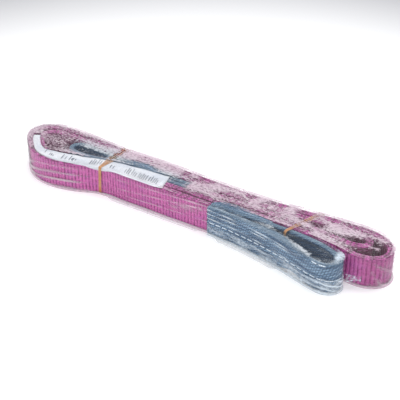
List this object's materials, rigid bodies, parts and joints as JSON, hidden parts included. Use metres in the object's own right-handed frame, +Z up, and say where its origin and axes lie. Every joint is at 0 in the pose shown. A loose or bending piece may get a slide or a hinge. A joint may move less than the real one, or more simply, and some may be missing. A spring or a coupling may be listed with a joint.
{
  "type": "flat web sling",
  "caption": "Two-ply flat web sling with sleeved lifting eyes, coiled on edge, held by rubber bands and sealed in clear film.",
  "frame": {"origin": "middle of the pack's outline, on the surface it lies on", "axes": "+X along the pack towards the end beside the outer eye, +Z up out of the surface, -Y towards the side on which the outer eye lies"},
  "size_m": [0.4181, 0.0785, 0.0324],
  "materials": {
    "webbing": "woven polyester webbing",
    "sleeve": "woven blue-grey sleeve",
    "thread": "white polyester thread",
    "webbing_thread": "violet polyester thread",
    "label": "printed satin label",
    "label_cover": "clear laminate",
    "rubber": "tan rubber",
    "film": "clear shrink film",
    "film_seal": "heat-sealed film edge"
  },
  "bodies": {
    "pack": {"web_outer_ply": "webbing", "web_inner_ply": "webbing", "stitch_row_upper": "webbing_thread", "stitch_row_lower": "webbing_thread", "outer_splice_stitch": "webbing_thread", "inner_splice_stitch": "webbing_thread", "inner_eye_web": "webbing", "inner_eye_sleeve": "sleeve", "inner_sleeve_seam": "thread", "label_tag": "label", "label_cover": "label_cover", "label_stitch": "thread", "band_right": "rubber", "film_cover": "film", "film_base": "film", "film_seal": "film_seal", "film_tuft": "film"},
    "outer_eye": {"outer_eye_web": "webbing", "outer_eye_sleeve": "sleeve", "outer_sleeve_seam": "thread", "film_eye_cover": "film", "film_eye_base": "film", "film_eye_seal": "film_seal"},
    "band_left_body": {"band_left": "rubber"}
  },
  "joints": [
    {"name": "outer_eye_swing", "type": "hinge", "parent": "pack", "child": "outer_eye", "pos_m": [0.02955, -0.01125, 0.016], "axis": [0, 0, -1], "range_deg": [0, 18], "stiffness_Nm_per_rad": 0.3, "deforming": ["band_right"]},
    {"name": "band_left_slide", "type": "slide", "parent": "pack", "child": "band_left_body", "axis": [1, 0, 0], "range_m": [0, 0.05]}
  ]
}
